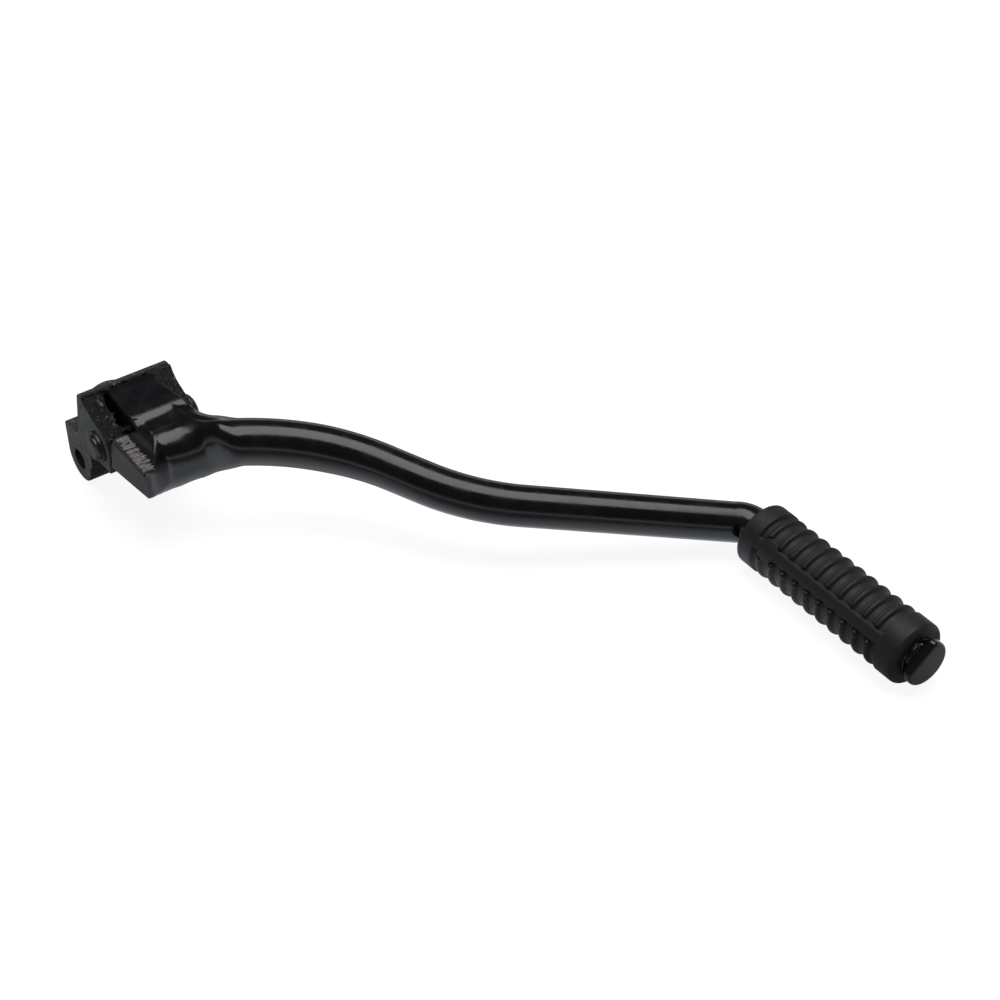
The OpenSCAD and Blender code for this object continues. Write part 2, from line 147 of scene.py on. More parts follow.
# wraps a node socket, so that shader maths can be written as an expression
class Sock:
    def __init__(self, tree, socket):
        self.tree = tree
        self.socket = socket

    # any other node: its type, its settings, then the values or links of its sockets
    def make(self, kind, settings=None, out=0, **inputs):
        node = self.tree.nodes.new(kind)
        for key, value in (settings or {}).items():
            setattr(node, key, value)
        for key, value in inputs.items():
            place = int(key[2:]) if key.startswith("at") and key[2:].isdigit() else key.replace("_", " ")
            if isinstance(value, Sock):
                self.tree.links.new(value.socket, node.inputs[place])
            else:
                node.inputs[place].default_value = value
        return Sock(self.tree, node.outputs[out])

    def maths(self, operation, a, b=0.0):
        return self.make("ShaderNodeMath", {"operation": operation}, at0=a, at1=b)

    def __add__(self, other):
        return self.maths("ADD", self, other)

    __radd__ = __add__

    def __mul__(self, other):
        return self.maths("MULTIPLY", self, other)

    __rmul__ = __mul__

    def __sub__(self, other):
        return self.maths("SUBTRACT", self, other)

    def __rsub__(self, other):
        return self.maths("SUBTRACT", other, self)

    # 0 below low, 1 above high
    def between(self, low, high):
        return self.make("ShaderNodeMapRange", {"interpolation_type": "SMOOTHSTEP"}, Value=self,
                         From_Min=low, From_Max=high, To_Min=0.0, To_Max=1.0)

    def axis(self, index):
        return self.make("ShaderNodeSeparateXYZ", out=index, Vector=self)

    def stretched(self, x, y, z):
        return self.make("ShaderNodeVectorMath", {"operation": "MULTIPLY"}, at0=self, at1=(x, y, z))

    def noise(self, scale, detail=3.0, rough=0.5):
        return self.make("ShaderNodeTexNoise", Vector=self, Scale=scale, Detail=detail, Roughness=rough)

    def tinted(self, low, high):
        return self.make("ShaderNodeMix", {"data_type": "RGBA"}, out=2, at0=self,
                         at6=low if isinstance(low, Sock) else (*low, 1),
                         at7=high if isinstance(high, Sock) else (*high, 1))

    def bumped(self, strength, distance, under=None):
        extra = {"Normal": under} if under else {}
        return self.make("ShaderNodeBump", Height=self, Strength=strength, Distance=distance, **extra)


# a new material: gives the place on the piece, the surface normal and a function that fills the shader
def newMaterial(name, **fixed):
    material = bpy.data.materials.new(name)
    material.use_nodes = True
    tree = material.node_tree
    shader = tree.nodes["Principled BSDF"]
    start = Sock(tree, shader.outputs[0])
    place = start.make("ShaderNodeTexCoord", out=3)
    facing = start.make("ShaderNodeNewGeometry", out=1)
    for key, value in fixed.items():
        shader.inputs[key.replace("_", " ")].default_value = value

    def fill(**inputs):
        for key, value in inputs.items():
            tree.links.new(value.socket, shader.inputs[key.replace("_", " ")])
    return material, place, facing, fill


# the brush marks' colour is a painted highlight, lighter than the paint
glossPaint = {"colour": (0.0045, 0.0045, 0.0058), "roughness": 0.15, "peelScale": 900.0,
              "streakTilt": 0.34, "streakHighlight": (0.105, 0.092, 0.110), "strokePitch": 5400.0,
              "strokeWander": 11.0, "strokeHeight": 0.00012, "markEdge": 0.0016, "markRag": 0.008,
              "markBelow": 0.0028, "markOut": 0.072, "soft": 0.0006}


# gloss black paint with a slight orange peel, and ragged brush marks on the shoulder; the marks' lighter
# colour is a painted highlight
def paintMaterial():
    m = glossPaint
    material, place, _, fill = newMaterial("glossBlackPaint", Coat_Roughness=0.06, IOR=1.45)
    cloud = place.noise(160.0, 4.0)
    fine = place.noise(m["peelScale"], 3.0)
    scuffs = place.noise(2600.0, 2.0).between(0.62, 0.72)
    # brush marks: fine ridges at the shoulder's left end, tilted outwards, with ragged ends
    a = armShape
    x, y, z = place.axis(0), place.axis(1), place.axis(2)
    up = (a["shoulderUp"] + bench["floor"]) * 0.001
    ragged = place.stretched(120.0, 900.0, 120.0).noise(1.0, 4.0, 0.65)
    left = bench["pinZero"] * 0.001 + m["markEdge"]
    acrossMask = (ragged * m["markRag"] - x + left).between(0.0, m["soft"])
    upMask = (z - up + m["markBelow"]).between(0.0, m["soft"]) * (y + m["markOut"]).between(0.0, 0.004)
    patch = acrossMask * upMask * ragged.between(0.34, 0.44)
    strokes = y.maths("SINE", y * m["strokePitch"] + ragged * m["strokeWander"])
    bristles = place.stretched(90.0, 2600.0, 90.0).noise(1.0, 3.0, 0.6)
    strokes = (strokes * 0.5 + bristles).between(0.35, 0.75)
    lean = (y * m["streakTilt"] + m["strokeHeight"] * strokes) * patch
    peel = (cloud * 0.6 + fine * 0.4).bumped(0.35, 0.00012)
    paint = cloud.between(0.3, 0.8).tinted(m["colour"], [c * 1.5 for c in m["colour"]])
    # the brush marks are tinted lighter: a painted highlight standing in for the overhead box's reflection;
    # their tilt comes from the bump
    fill(Base_Color=(patch * strokes).tinted(paint, m["streakHighlight"]),
         Roughness=m["roughness"] + 0.10 * cloud.between(0.35, 0.75) + 0.08 * scuffs + 0.10 * patch,
         Normal=lean.bumped(1.0, 1.0, peel))
    return material


# A run is where a change starts and ends, along p, q or s; a list holds stops for curveThrough.
armShape = {
    "pinOut": 21.1, "pinUp": 29.5, "boreRadius": 5.06, "earGap": 9.8,
    "tongueLeft": 9.9, "tongueBack": 11.4, "backRadius": 9.6, "tongueOut": 43.6, "tongueFlare": 8,
    "flareRun": (27, 36), "underLean": 0.95, "filletRun": (27, 33),
    "barLeft": 0.2, "barBack": 29.7, "barTop": 43.4, "edge": 0.7, "crestRise": 3.6, "crestRun": (20, 38),
    "footRound": 8.0, "footRun": (2, 16), "deeperRun": (30, 45), "blendRun": (26, 38), "hubEnd": 60,
    "start": (34.05, 56.6), "startLean": 0.33, "nearEnd": 31, "turnIn": 26, "heading": 19.1,
    "bendOne": (86.0, 42.1), "between": 15.4, "bendTwo": (79.0, 27.3), "elbow": 8.5, "elbowRadius": 7.75,
    "pegX": 183.25, "axisUp": 37.9, "drop": 25.4, "shankRadius": (9.1, 8.2), "pegRadius": 7.3,
    "sagStart": 0.8, "sagRun": (-4, 8), "sagTilt": (0.72, 0.69),
    "neck": 3.2, "sleeve": 80.4, "headLength": 5.6, "headRadius": 9.0, "headFlat": 5.2,
    "flatTilt": (0.629, 0.777), "headRun": (1.2, 3.0), "flatFrom": 1.6,
    "shoulderUp": 42.4, "shoulderFall": 0.06, "shoulderFrom": 6.0, "shoulderRise": 0.030,
    "shoulderOut": 36.5, "slopeRise": 0.9, "slopeRun": (32.0, 36.5), "slopeAcross": (6, 10.5),
    "notchLean": 0.93, "notchFlare": 6, "notchRun": (31.5, 36.0),
    "cornerUp": 33.2, "cornerOut": 28.2, "cornerTilt": (0.67, 0.74),
    "topProfile": [(8, 46.0), (12, 45.9), (31.8, 45.05), (35.4, 43.8), (39, 43.45), (46, 43.35), (60, 43.2)],
    "rightSide": [(8, 29.1), (17.5, 29.1), (22, 29.9), (27, 30.8), (32.6, 32.2), (39, 33.2), (44.6, 34.6),
                  (50, 37.4), (56, 41.0)],
    "underside": [(12, 19.9), (21.1, 19.9), (30.2, 24.5), (59.7, 29.4)],
    "front": [(0, 60), (3, 60), (6, 58.3), (9, 55.8), (12, 53.6), (14, 52.9), (18, 53.7), (22, 54.8),
              (26, 56.6), (30, 59.6), (34, 63.8), (38, 67)],
    "nose": [(0, 0.9), (2, 1.6), (5, 4.5), (8, 8.0), (12, 10.4), (20, 10.6), (28, 10.2), (34, 9.5)],
    "deeper": [(0, 0), (4, 0.5), (7, 3.2), (10, 6.0), (12, 8.0), (14, 9.0), (18, 9.0), (24, 7.6),
               (30, 6.5), (36, 3.5)],
}


# length of a bend, given by its radius and its degrees
def arcLength(bend):
    return bend[0] * math.radians(bend[1])


# Plan of the shank's middle line: arcs and straights, as arrays p, q, heading over the length s
def shankLine():
    a = armShape
    heading = math.radians(a["heading"])
    step = 0.1
    beyondElbow = 1000
    turns = []
    for length, turn in ((arcLength(a["bendOne"]), a["bendOne"][1]), (a["between"], 0),
                         (arcLength(a["bendTwo"]), -a["bendTwo"][1])):
        count = int(round(length / step))
        turns.append(np.full(count, math.radians(turn) / count))
    turns = np.concatenate(turns)
    last = heading + turns.sum()
    reach = (np.cos(heading + np.cumsum(turns) - turns / 2) * step).sum()
    corner = math.pi / 2 - last
    straight = (a["pegX"] - a["start"][0] - reach) / math.cos(last) - a["elbow"] * math.tan(corner / 2)
    elbowCount = int(round(corner * a["elbow"] / step))
    straightCount = int(round(straight / step))
    turns = np.concatenate([turns, np.zeros(straightCount), np.full(elbowCount, corner / elbowCount),
                            np.zeros(beyondElbow)])
    angles = heading + np.cumsum(turns) - turns / 2
    elbowStart = (len(turns) - beyondElbow - elbowCount) * step
    return {"s": np.arange(len(turns) + 1) * step,
            "p": a["start"][0] + np.concatenate([[0], np.cumsum(np.cos(angles))]) * step,
            "q": a["start"][1] + np.concatenate([[0], np.cumsum(np.sin(angles))]) * step,
            "h": np.concatenate([[heading], heading + np.cumsum(turns)]),
            "elbowStart": elbowStart, "pegStart": elbowStart + elbowCount * step,
            "pegEnd": elbowStart + elbowCount * step + a["neck"] + a["sleeve"]}


line = shankLine()


# radius of the round shank over its length: tapers in the first bend and again towards the elbow
def shankRadius(s):
    a = armShape
    big, small = a["shankRadius"]
    firstEnd = arcLength(a["bendOne"])
    secondEnd = firstEnd + a["between"] + arcLength(a["bendTwo"])
    stops = [(-10, big), (firstEnd * 0.6, big - 0.2), (firstEnd, small), (firstEnd + 20, small),
             (secondEnd, (small + a["elbowRadius"]) / 2), (line["pegStart"] - 4, a["elbowRadius"]),
             (line["pegStart"] + 2, a["pegRadius"]), (500, a["pegRadius"])]
    return curveThrough(s, stops, 3)


# height of the shank's middle line: falls evenly to the elbow
def shankUp(s):
    return armShape["axisUp"] - armShape["drop"] * np.clip(s / line["elbowStart"], -0.1, 1)


# length along the first bend and distance across it, as s and u below, for points near the hub
def nearStart(p, q):
    a = armShape
    h = math.radians(a["heading"])
    radius = a["bendOne"][0]
    startP, startQ = a["start"]
    centreP = startP - radius * math.sin(h)
    centreQ = startQ + radius * math.cos(h)
    angle = np.arctan2(p - centreP, centreQ - q) - h
    ahead = (p - startP) * math.cos(h) + (q - startQ) * math.sin(h)
    aside = -(p - startP) * math.sin(h) + (q - startQ) * math.cos(h)
    bent = radius - np.hypot(p - centreP, q - centreQ)
    # before its start the shank's line runs nearly straight along p
    aside = aside + a["startLean"] * np.minimum(ahead, 0)
    return np.where(ahead > 0, radius * angle, ahead), np.where(ahead > 0, bent, aside)


# Places s, u, v on the forging: s runs along the line, v up from it, and u across it, outwards at
# the hub and towards the clamp's side at the peg.
# Left of the shank's start s runs along p, and the sections turn into the bend over turnIn.
def placeOnArm(s, u, v):
    inside = np.maximum(s, 0)
    p = np.interp(inside, line["s"], line["p"]) + np.minimum(s, 0)
    q = np.interp(inside, line["s"], line["q"])
    h = np.interp(inside, line["s"], line["h"]) * ease(0, armShape["turnIn"], s)
    return p - np.sin(h) * u, q + np.cos(h) * u, v + shankUp(inside)


# The whole forging: the hub's bar, square at its left end, that turns into a round bar and then into
# the shank; the tongue joined to it by a fillet; the hollow shoulder, the corner cut, the ear's
# clearance and the pin's bore taken out; and the upset head with its flat at the peg's end
def armField(s, u, v):
    a = armShape
    p, q, z = placeOnArm(s, u, v)
    nearS, nearU = nearStart(p, q)
    along = np.where(s > a["nearEnd"], s, nearS)
    aside = np.where(s > a["nearEnd"], u, nearU)
    # the shank starts a little thicker, outwards and below
    sag = a["sagStart"] * (1 - ease(*a["sagRun"], along))
    tube = np.hypot(aside - a["sagTilt"][0] * sag, z - shankUp(along) + a["sagTilt"][1] * sag)
    tube = tube - shankRadius(along) - sag
    # hub's bar
    top = a["barTop"] + a["crestRise"] * ease(*a["crestRun"], p)
    underside = curveThrough(q, a["underside"], 1.5)
    deep = curveThrough(p, a["deeper"], 1.0) * ease(*a["deeperRun"], q)
    block = roundMax(z - top, q - curveThrough(p, a["front"], 1.0), curveThrough(p, a["nose"], 1.0))
    block = roundMax(block, underside - deep - z, a["edge"] + a["footRound"] * ease(*a["footRun"], p))
    block = roundMax(block, a["barLeft"] - p, a["edge"])
    block = np.maximum(block, a["barBack"] - q)
    blend = ease(*a["blendRun"], p)
    block = np.where(p < a["hubEnd"], (1 - blend) * block + blend * tube, tube)
    # tongue: flat top with a short ramp, round back about the pin
    pinGap = np.hypot(q - a["pinOut"], z - a["pinUp"])
    roundBack = np.where(q < a["pinOut"], pinGap - a["backRadius"], -5.0)
    back = np.where(z < a["pinUp"], roundBack, a["tongueBack"] - q)
    profile = roundMax(z - curveThrough(q, a["topProfile"], 0.9), back, 1.0)
    profile = roundMax(profile, (underside - z) * a["underLean"], 1.2)
    profile = roundMax(profile, q - a["tongueOut"] - a["tongueFlare"] * ease(*a["flareRun"], p), 2.5)
    tongue = roundMax(profile, p - curveThrough(q, a["rightSide"], 2.0), 0.8)
    tongue = roundMax(tongue, a["tongueLeft"] - p, 0.35)
    joined = roundMin(tongue, block, 0.5 + 5.0 * ease(*a["filletRun"], p))
    body = np.where(p < a["hubEnd"], joined, block)
    # hollow shoulder in front of the left ear, up to the tongue's top edge
    shoulder = a["shoulderUp"] - a["shoulderFall"] * (q - a["shoulderOut"])
    shoulder = shoulder + a["shoulderRise"] * np.maximum(p - a["shoulderFrom"], 0) ** 2
    shoulder = shoulder + a["slopeRise"] * (1 - ease(*a["slopeRun"], q)) * ease(*a["slopeAcross"], p)
    beside = p - a["tongueLeft"] - a["notchFlare"] * ease(*a["notchRun"], q)
    notch = np.maximum((shoulder - z) * a["notchLean"], beside)
    body = roundMax(body, -notch, 0.45)
    # corner cut, the ear's clearance and the pin's bore
    corner = (z - a["cornerUp"]) * a["cornerTilt"][0] - (q - a["cornerOut"]) * a["cornerTilt"][1]
    body = roundMax(body, np.minimum(corner, a["tongueLeft"] - p), 0.5)
    body = roundMax(body, -np.maximum(pinGap - a["earGap"], p - a["tongueLeft"]), 0.4)
    body = roundMax(body, a["boreRadius"] - pinGap, 0.4)
    # upset head, with a flat that starts a little beyond the sleeve
    beyond = s - line["pegEnd"]
    throat = a["pegRadius"] - 0.5
    reach = throat + (a["headRadius"] - a["pegRadius"] + 0.5) * ease(*a["headRun"], beyond)
    flat = a["flatTilt"][0] * u + a["flatTilt"][1] * v - a["headFlat"] - 20 * ease(a["flatFrom"], 0, beyond)
    head = roundMax(np.hypot(u, v) - reach, flat, 0.7)
    head = roundMax(head, beyond - a["headLength"], 1.1)
    return np.where(beyond > 0, head, body)


# grid stops along one axis: each stretch runs from a to b in steps of about the given size
def stepsOf(*stretches):
    stops = []
    for a, b, step in stretches:
        stops.append(np.linspace(a, b, max(1, int(round((b - a) / step))), endpoint=False))
    return np.concatenate(stops + [[stretches[-1][1]]])


def leverArm(material):
    bend, peg, end = line["elbowStart"], line["pegStart"], line["pegEnd"]
    axes = [stepsOf((-36, 26, 0.42), (26, 50, 0.8), (50, bend - 2, 1.2), (bend - 2, peg + 4, 0.6),
                    (peg + 4, end - 2, 5.0), (end - 2, end + 7, 0.4)),
            stepsOf((-48, 13, 0.42)), stepsOf((-20, 11, 0.42))]
    points, quads = skinOf(armField, axes)
    print("arm skin:", len(points), "points,", len(quads), "quads")
    return meshPiece("leverArmSkin", toFrame(*placeOnArm(*points.T)), quads, material, "arm")


armSkin = leverArm(paintMaterial())
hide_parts("lever_arm")
print("arm made")

bossShape = {
    "width": 37.5, "backFace": -9.6, "lugUp": 9.3, "lugRadius": 9.3, "shoulder": 22.9, "lugSlope": 0.03,
    "boreUp": 21.1, "boreRadius": 6.5, "spline": 0.6, "splines": 24, "slit": 2.5, "pinch": 4.1,
    "barrel": 11.7, "barrelFront": 10.4, "barrelBack": -10.8,
    "wallTop": 45.7, "wallFront": 11.2, "wallBack": 7.2, "wallFoot": 12, "wallSlope": 0.18, "wallEven": 0.98,
    "leanUp": 45.5, "leanTilt": (0.976, 0.219),
    "earThick": 8.2, "earRadius": 9.0, "earFront": 28.9, "earBack": 8.4, "earFoot": 20.6,
    "earCorner": (12.7, 43.2), "earTilt": (0.393, 0.919), "pinRadius": 5.0,
    "filletStart": 0.05, "fillet": 3.2, "filletRight": 4.0, "rightRun": (22, 31), "filletRun": (10.5, 12.5),
}


# Clamp boss: lug with a round foot, leaning wall, two ears and the barrel, joined by fillets, less
# the splined bore, the slit and the cross holes
def bossField(p, q, z):
    b = bossShape
    middle = b["width"] / 2
    ends = np.abs(p - middle) - middle
    lugOut = b["backFace"] + b["lugRadius"]
    lugGap = np.hypot(q - lugOut, z - b["lugUp"])
    lug = np.where(z < b["lugUp"], lugGap - b["lugRadius"], np.abs(q - lugOut) - b["lugRadius"])
    lug = roundMax(lug, z - b["shoulder"] - b["lugSlope"] * (q - b["backFace"]), 1.4)
    wallUp = (z - b["wallTop"] - b["wallSlope"] * (q - b["wallBack"])) * b["wallEven"]
    wall = roundMax(q - b["wallFront"], wallUp, 0.9)
    wallLean = (b["wallBack"] - q) * b["leanTilt"][0] - (b["leanUp"] - z) * b["leanTilt"][1]
    wall = roundMax(wall, wallLean, 0.9)
    wall = roundMax(wall, b["wallFoot"] - z, 1)
    earTop = (q - b["earCorner"][0]) * b["earTilt"][0] + (z - b["earCorner"][1]) * b["earTilt"][1]
    ear = roundMax(earTop, q - b["earFront"], 2.2)
    ear = roundMax(ear, b["earFoot"] - z, 1)
    ear = roundMax(ear, b["earBack"] - q, 1)
    pinGap = np.hypot(q - armShape["pinOut"], z - armShape["pinUp"])
    ear = np.minimum(ear, pinGap - b["earRadius"])
    inner = middle - b["earThick"] - np.abs(p - middle)
    ear = roundMax(ear, inner, 1.3)
    body = roundMin(lug, wall, 3.5)
    fillet = (b["fillet"] + b["filletRight"] * ease(*b["rightRun"], p)) * ease(*b["filletRun"], q)
    body = roundMin(body, ear, b["filletStart"] + fillet)
    boreGap = np.hypot(p - middle, z - b["boreUp"])
    barrelEnds = np.maximum(q - b["barrelFront"], b["barrelBack"] - q)
    body = roundMin(body, roundMax(boreGap - b["barrel"], barrelEnds, 1.0), 1.2)
    body = roundMax(body, ends, 0.35)
    angle = np.arctan2(z - b["boreUp"], p - middle)
    bore = boreGap - b["boreRadius"] - b["spline"] * np.clip(0.5 + 1.6 * np.cos(b["splines"] * angle), 0, 1)
    body = roundMax(body, -bore, 0.25)
    slit = np.maximum(np.abs(p - middle) - b["slit"] / 2, z - b["boreUp"])
    body = roundMax(body, -slit, 0.3)
    body = roundMax(body, b["pinch"] - lugGap, 0.35)
    return np.maximum(body, b["pinRadius"] - pinGap)


def clampBoss(material):
    axes = [stepsOf((-0.6, 9.6, 0.42), (9.6, 28, 0.36), (28, 38.1, 0.42)), stepsOf((-11.6, 31.2, 0.42)),
            stepsOf((-0.6, 12, 0.45), (12, 30, 0.36), (30, 47.6, 0.42))]
    points, quads = skinOf(bossField, axes)
    print("boss skin:", len(points), "points,", len(quads), "quads")
    return meshPiece("clampBossSkin", toFrame(*points.T), quads, material, "clamp_boss")


# glint is the colour of the light flecks, a painted highlight
forgedPaint = {"colour": (0.006, 0.006, 0.007), "ground": (0.26, 0.31, 0.30), "glint": (0.16, 0.15, 0.16),
               "roughness": 0.13}


# black paint over a rough forging, with light flecks on upward faces as painted glints; the left end face is
# ground in streaks
def forgedMaterial():
    m = forgedPaint
    material, place, facing, fill = newMaterial("forgedBlackPaint", IOR=1.45)
    pits = place.noise(520.0, 6.0, 0.65)
    lumps = place.noise(150.0, 3.0)
    streaks = place.stretched(60.0, 700.0, 260.0).noise(3.2, 5.0, 0.7)
    endFace = (facing.axis(0) * -1.0).between(0.9, 0.98)
    wear = streaks.between(0.40, 0.62) * endFace
    painted = pits.between(0.3, 0.8).tinted(m["colour"], [c * 1.6 for c in m["colour"]])
    # painted highlight: light flecks on upward facing surfaces, standing in for glints
    glintFlecks = pits.between(0.56, 0.63) * lumps.between(0.45, 0.58) * facing.axis(2).between(0.3, 0.6)
    painted = glintFlecks.tinted(painted, m["glint"])
    fill(Base_Color=(0.25 * endFace + 0.75 * wear).tinted(painted, m["ground"]),
         Roughness=m["roughness"] + 0.16 * lumps.between(0.35, 0.7) + 0.25 * endFace,
         Normal=(pits * 1.0 + lumps * 1.5 + streaks * endFace * 0.4).bumped(1.0, 0.0020))
    return material


bossSkin = clampBoss(forgedMaterial())
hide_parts("boss")
print("boss made")


# finish of the small metal pieces: fine rings along x and a cloudy shade
def turnedMaterial(name, colour, metal, roughness):
    material, place, _, fill = newMaterial(name, Metallic=metal, IOR=1.5)
    rings = place.stretched(2600.0, 300.0, 300.0).noise(1.0, 2.0)
    cloud = place.noise(300.0, 4.0)
    fill(Base_Color=cloud.between(0.3, 0.8).tinted(colour, [c * 1.7 for c in colour]),
         Roughness=roughness + 0.12 * cloud.between(0.35, 0.75),
         Normal=(rings * 0.5 + cloud * 0.5).bumped(0.35, 0.00015))
    return material


turnedFinish = {
    "pivot_pin": ("blackedPin", (0.011, 0.011, 0.013), 0.0, 0.20),
    "snap_ring": ("blackedRing", (0.014, 0.014, 0.015), 0.0, 0.26),
    # the detent ball's near black colour is painted shade, for the ball sits in the dark gap between ear and
    # tongue
    "detent_ball": ("ballPaintedShade", (0.045, 0.043, 0.040), 1.0, 0.30),
    "detent_spring": ("springWire", (0.42, 0.42, 0.42), 1.0, 0.25),
}
for nodeName, finish in turnedFinish.items():
    finished = turnedMaterial(*finish)
    for slot in nodes[nodeName].material_slots:
        slot.material = finished
print("pin, ring and detent finished")

# Arc is measured round the sleeve from the strip's middle, and l along it from the elbow's end.
# Far and near are as the camera sees them.
sleeveShape = {
    "length": 80.4, "bore": 7.3, "root": 11.15, "collar": 12.5, "farCollar": 8.0, "nearCollar": 70.8,
    "firstRib": 11.5, "pitch": 6.2, "ribs": 10, "ribHalf": 1.35, "ribRise": 0.94, "ribEnd": 1.2,
    "knobAt": 0.9, "knobHalf": 1.5, "knobRise": 1.45, "stepRise": 0.22,
    "stripHalf": 2.2, "stripUp": 0.85, "gapUp": 3.2, "gapDown": 3.4, "stripAngle": 58.0,
    "padAt": 14.0, "padRadius": 4.7, "padUp": 1.1, "tabHalf": 1.5, "tabUp": 0.8,
    "roundFirst": 1.1, "roundLast": 1.9, "arcRadius": 12, "fineHalf": 6.0,
}


# Outer radius of the sleeve over the angle and the length: collars, half round ribs, each with a
# small step on its far side, that stop beside a flat strip, and the strip's round pad
def sleeveRadius(around, l):
    k = sleeveShape
    arc = -around
    rise = k["collar"] - k["root"]
    rib = np.zeros(np.broadcast(arc, l).shape)
    step = np.zeros_like(rib)
    knob = np.zeros_like(rib)
    for i in range(k["ribs"]):
        middle = k["firstRib"] + k["pitch"] * i
        d = (l - middle) / k["ribHalf"]
        # round end below the strip, with a knob on it
        beyond = (arc + k["gapDown"] + k["ribEnd"]) / k["ribEnd"]
        below = np.where((arc < 0) & (arc > -k["gapDown"] - k["ribEnd"]), beyond, 0)
        rib = np.maximum(rib, np.sqrt(np.maximum(0, 1 - d ** 2 - below ** 2)) * k["ribRise"])
        ball = 1 - d ** 2 - ((arc + k["gapDown"] + k["knobAt"]) / k["knobHalf"]) ** 2
        knob = np.maximum(knob, np.sqrt(np.maximum(0, ball)) * k["knobRise"])
        step = np.maximum(step, ease(-1.85, -1.65, d) * (1 - ease(-1.1, -0.9, d)) * k["stepRise"])
    sides = np.where(arc > 0, ease(k["gapUp"] - 0.15, k["gapUp"] + 0.15, arc),
                     ease(k["gapDown"] - 0.1, k["gapDown"] + 0.1, -arc))
    fromPad = np.hypot(arc, l - k["padAt"])
    height = np.maximum(np.maximum(rib, step) * sides, knob) * ease(0.1, 0.5, fromPad - k["padRadius"])
    strip = k["stripUp"] * (1 - ease(k["stripHalf"] - 0.15, k["stripHalf"] + 0.2, np.abs(arc)))
    pad = k["padUp"] * (1 - ease(k["padRadius"] - 0.35, k["padRadius"] + 0.1, fromPad))
    tab = k["tabUp"] * (1 - ease(k["tabHalf"] - 0.2, k["tabHalf"] + 0.2, np.abs(arc)))
    tab = tab * (1 - ease(k["padAt"], k["padAt"] + 1, l))
    height = np.maximum(np.maximum(height, strip), np.maximum(pad, tab))
    collars = np.maximum(1 - ease(k["farCollar"] - 0.25, k["farCollar"] + 0.1, l),
                         ease(k["nearCollar"] + 0.5, k["nearCollar"] + 0.8, l))
    ends = np.maximum(k["roundFirst"] - l, np.maximum(l - (k["length"] - k["roundLast"]), 0))
    limit = np.where(l < k["farCollar"], k["roundFirst"], k["roundLast"])
    roundOff = limit - np.sqrt(np.maximum(limit ** 2 - ends ** 2, 0))
    return k["root"] + rise * np.maximum(height, collars) - roundOff


def rubberSleeve(material):
    k = sleeveShape
    lastStops = k["length"] - np.array([1.9, 1.3, 0.8, 0.4, 0.12, 0.02, 0])
    l = np.concatenate([[0, 0.06, 0.25, 0.6, 1.1], np.arange(2, 7.6, 0.8), np.arange(7.7, 72.2, 0.26),
                        np.arange(73, 78.4, 0.8), lastStops])
    # finer beside the strip, where the ribs end
    near = np.arange(-k["fineHalf"], k["fineHalf"] + 0.01, 0.25) / k["arcRadius"]
    edge = k["fineHalf"] / k["arcRadius"]
    rest = np.linspace(edge, 2 * math.pi - edge, 92)[1:-1]
    angle = np.concatenate([near, rest])
    arc = (((angle + math.pi) % (2 * math.pi)) - math.pi) * k["arcRadius"]
    outer = sleeveRadius(arc[:, None], l[None, :])
    count = len(angle)
    bore = np.full((count, 1), k["bore"])
    reach = np.concatenate([bore, outer[:, :1] * 0.5 + k["bore"] * 0.5, outer,
                            outer[:, -1:] * 0.5 + k["bore"] * 0.5, bore], axis=1)
    lengths = np.concatenate([[0, 0], l, [k["length"], k["length"]]])
    # strip's direction: turned from the top towards the boss's side
    turn = math.radians(90 + k["stripAngle"]) + angle[:, None]
    p = armShape["pegX"] + reach * np.cos(turn)
    z = armShape["axisUp"] - armShape["drop"] + reach * np.sin(turn)
    sleeveStart = line["q"][-1] - (line["s"][-1] - line["pegStart"] - armShape["neck"])
    q = np.broadcast_to(sleeveStart + lengths[None, :], reach.shape)
    rows = len(lengths)
    i, j = np.meshgrid(np.arange(count), np.arange(rows), indexing="ij")
    ii, jj = (i + 1) % count, (j + 1) % rows
    quads = np.stack([i * rows + j, ii * rows + j, ii * rows + jj, i * rows + jj], axis=-1).reshape(-1, 4)
    print("sleeve:", count * rows, "points")
    return meshPiece("rubberSleeve", toFrame(p, q, z), quads, material, "arm")


rubberLook = {"colour": (0.0085, 0.0088, 0.0095), "brown": (0.017, 0.0145, 0.0125), "roughness": 0.50}


# matt moulded rubber, a little browner and dusty in the grooves
def rubberMaterial():
    m = rubberLook
    material, place, _, fill = newMaterial("mouldedRubber", IOR=1.4)
    k = sleeveShape
    pegAcross = (armShape["pegX"] + bench["pinZero"]) * 0.001
    pegUp = (armShape["axisUp"] - armShape["drop"] + bench["floor"]) * 0.001
    off = place.make("ShaderNodeVectorMath", {"operation": "SUBTRACT"}, at0=place,
                     at1=(pegAcross, 0.0, pegUp))
    flat = off.stretched(1.0, 0.0, 1.0)
    reach = flat.make("ShaderNodeVectorMath", {"operation": "LENGTH"}, out=1, at0=flat)
    groove = 1 - reach.between((k["root"] + 0.1) * 0.001, (k["root"] + 0.7) * 0.001)
    cloud = place.noise(240.0, 5.0, 0.6)
    grain = place.noise(3000.0, 3.0)
    dust = place.noise(90.0, 3.0).between(0.4, 0.7)
    base = cloud.between(0.3, 0.75).tinted(m["colour"], [c * 1.35 for c in m["colour"]])
    fill(Base_Color=(groove * (0.45 + 0.4 * dust)).tinted(base, m["brown"]),
         Roughness=m["roughness"] + 0.12 * cloud.between(0.3, 0.7),
         Normal=(grain * 0.4 + cloud * 0.8).bumped(0.35, 0.00025))
    return material


sleeve = rubberSleeve(rubberMaterial())
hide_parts("grip_sleeve")
print("sleeve made")

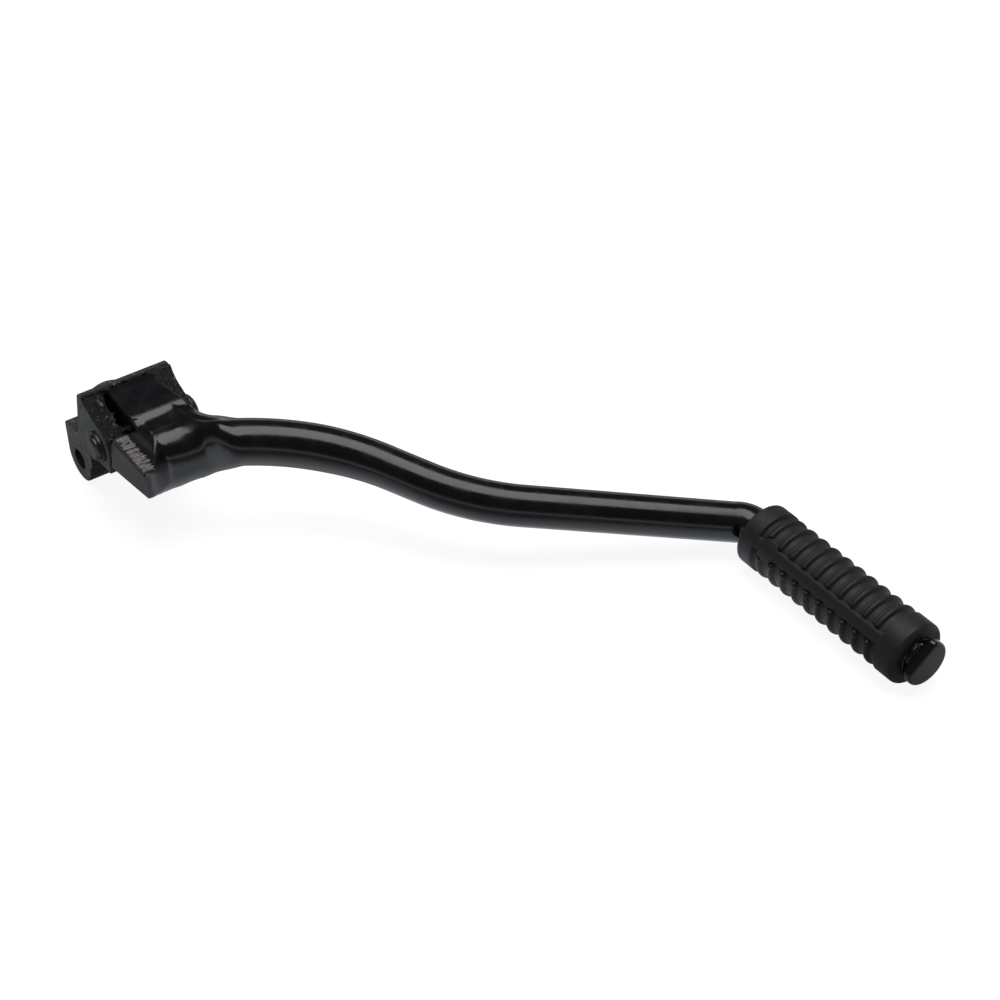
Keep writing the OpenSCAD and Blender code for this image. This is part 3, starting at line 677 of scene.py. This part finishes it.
# Camera of the photograph: a 72 mm lens, 36 degrees to the left and 40 degrees up
view = {"place": (-0.24381, -0.59824, 0.47809), "ahead": (0.45027, 0.61974, -0.64279), "lens": 72.0}
cameraData = bpy.data.cameras.new("photoCamera")
cameraData.lens = view["lens"]
cameraData.sensor_width = 36.0
cameraData.clip_start = 0.01
camera = bpy.data.objects.new("photoCamera", cameraData)
bpy.context.scene.collection.objects.link(camera)
camera.location = view["place"]
camera.rotation_mode = "QUATERNION"
camera.rotation_quaternion = Vector(view["ahead"]).to_track_quat("-Z", "Y")
bpy.context.scene.camera = camera

# Studio: a white floor, one large soft box overhead, and a world that lights from low down
studio = {"boxPlace": (0.22, 0.02, 1.25), "boxTarget": (0.09, -0.12, 0), "boxSize": (1.25, 1.0),
          "boxPower": 16.0, "boxColour": (1.0, 0.93, 0.96),
          "floorHalf": 3.0, "floorAt": (0.1, -0.15), "floor": 0.22, "floorGlow": 0.91,
          "mirrored": 1.1, "floorBlue": (0.86, 0.93, 1.0), "mirroredFar": 0.1,
          "brightFrom": -0.066, "brightLean": 0.8, "brightEdge": (-0.035, 0.005),
          "brightFade": (0.01, 0.11), "worldHigh": 0.06, "worldRun": (0.02, 0.30)}


def floorAndWorld():
    scene = bpy.context.scene
    scene.view_settings.view_transform = "Standard"
    half = studio["floorHalf"]
    x, y = studio["floorAt"]
    z = bench["floor"] * 0.001
    points = [(x + i * half, y + j * half, z) for i, j in ((-1, -1), (1, -1), (1, 1), (-1, 1))]
    mesh = bpy.data.meshes.new("studioFloor")
    mesh.from_pydata(points, [], [(0, 1, 2, 3)])
    floor = bpy.data.objects.new("studioFloor", mesh)
    scene.collection.objects.link(floor)
    material, place, _, _ = newMaterial("studioWhite")
    tree = material.node_tree
    start = Sock(tree, tree.nodes["Principled BSDF"].outputs[0])
    seen = start.make("ShaderNodeLightPath", out=0)
    glossy = start.make("ShaderNodeLightPath", out=3)
    through = start.make("ShaderNodeLightPath", out=6)
    shown = seen.maths("MAXIMUM", seen.maths("MAXIMUM", seen, glossy), through)
    diffuse = start.make("ShaderNodeBsdfDiffuse", Color=(studio["floor"],) * 3 + (1,))
    # in mirrored rays the floor's glow is painted: bright and tinted blue only close in front of the lever
    # as a painted reflection, and dim elsewhere as painted shade
    x, y = place.axis(0), place.axis(1)
    ahead = studio["brightFrom"] - y - studio["brightLean"] * x.maths("MAXIMUM", x, 0.0)
    front = ahead.between(*studio["brightEdge"]) * (1 - ahead.between(*studio["brightFade"]))
    mirrored = studio["mirrored"] * (studio["mirroredFar"] + (1 - studio["mirroredFar"]) * front)
    tint = glossy.tinted((1, 1, 1), studio["floorBlue"])
    glow = start.make("ShaderNodeEmission", Color=tint,
                      Strength=shown * (studio["floorGlow"] + (mirrored - studio["floorGlow"]) * glossy))
    both = start.make("ShaderNodeAddShader", at0=diffuse, at1=glow)
    tree.links.new(both.socket, tree.nodes["Material Output"].inputs[0])
    mesh.materials.append(material)
    # the world is white to the camera; for other rays it is white near the floor and dark overhead
    world = bpy.data.worlds.new("studioWorld")
    scene.world = world
    world.use_nodes = True
    tree = world.node_tree
    start = Sock(tree, tree.nodes["Background"].outputs[0])
    up = start.make("ShaderNodeTexCoord").axis(2)
    seen = start.make("ShaderNodeLightPath", out=0)
    pale = 1 - up.between(*studio["worldRun"])
    strength = seen.maths("MAXIMUM", seen, studio["worldHigh"] + (1 - studio["worldHigh"]) * pale)
    tree.links.new(strength.socket, tree.nodes["Background"].inputs[1])
    tree.nodes["Background"].inputs[0].default_value = (1, 1, 1, 1)


def softBox(name, place, target, size, power):
    data = bpy.data.lights.new(name, "AREA")
    data.shape = "RECTANGLE"
    data.size, data.size_y = size
    data.energy = power
    data.color = studio["boxColour"]
    lamp = bpy.data.objects.new(name, data)
    lamp.location = place
    lamp.rotation_euler = (Vector(target) - Vector(place)).to_track_quat("-Z", "Y").to_euler()
    bpy.context.scene.collection.objects.link(lamp)


floorAndWorld()
softBox("overheadBox", studio["boxPlace"], studio["boxTarget"], studio["boxSize"], studio["boxPower"])
print("studio made")
